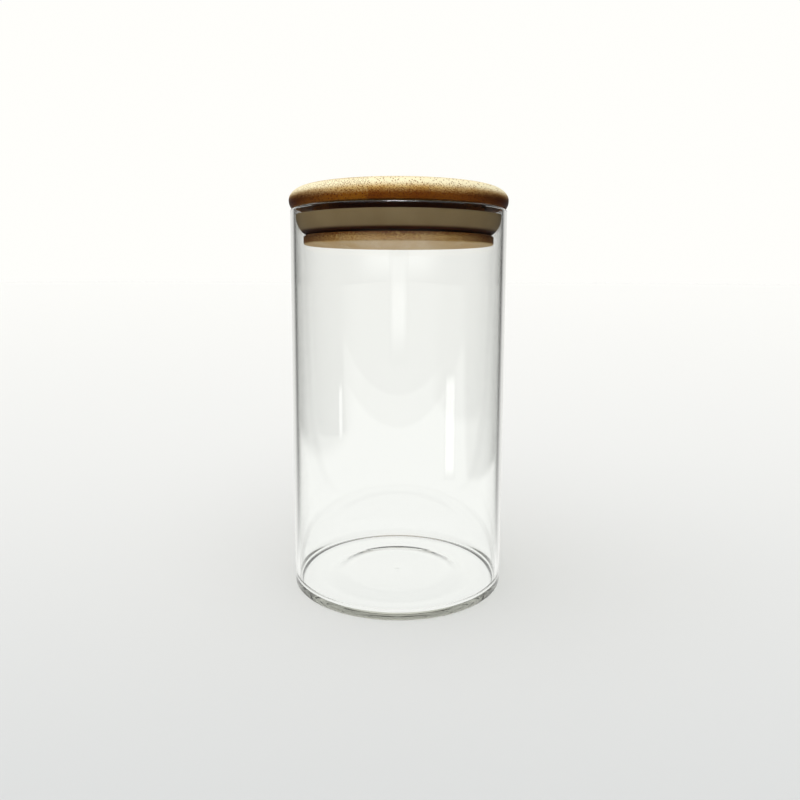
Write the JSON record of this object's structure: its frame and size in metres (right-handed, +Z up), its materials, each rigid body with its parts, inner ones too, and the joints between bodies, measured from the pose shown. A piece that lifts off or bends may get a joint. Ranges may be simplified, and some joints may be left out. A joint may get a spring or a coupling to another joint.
{
  "type": "glass storage jar",
  "caption": "Straight clear glass storage jar with a round-edged bamboo push-in lid, sealed by a cupped silicone ring that keeps dry food closed off from the air.",
  "frame": {"origin": "middle of the foot, on the surface that the jar stands on", "axes": "+Z up along the axis of the jar, -Y towards the viewer, strips of the cap run along Y"},
  "size_m": [0.086, 0.086, 0.1583],
  "materials": {
    "glass": "clear, polished",
    "bamboo": "sanded, oiled satin",
    "silicone": "milky, satin"
  },
  "bodies": {
    "jar": {"glass_jar": "glass"},
    "seal": {"sealing_ring": "silicone"},
    "lid": {"cap_strip_1": "bamboo", "cap_strip_2": "bamboo", "cap_strip_3": "bamboo", "cap_strip_4": "bamboo", "cap_strip_5": "bamboo", "core_strip_1": "bamboo", "core_strip_2": "bamboo", "core_strip_3": "bamboo", "core_strip_4": "bamboo", "foot_strip_1": "bamboo", "foot_strip_2": "bamboo", "foot_strip_3": "bamboo", "foot_strip_4": "bamboo"}
  },
  "joints": [
    {"name": "lid_lift", "type": "slide", "parent": "jar", "child": "seal", "axis": [0, 0, 1], "range_m": [0, 0.12]},
    {"name": "lid_twist", "type": "hinge", "parent": "seal", "child": "lid", "pos_m": [0, 0, 0.1503], "axis": [0, 0, 1], "continuous": true}
  ]
}
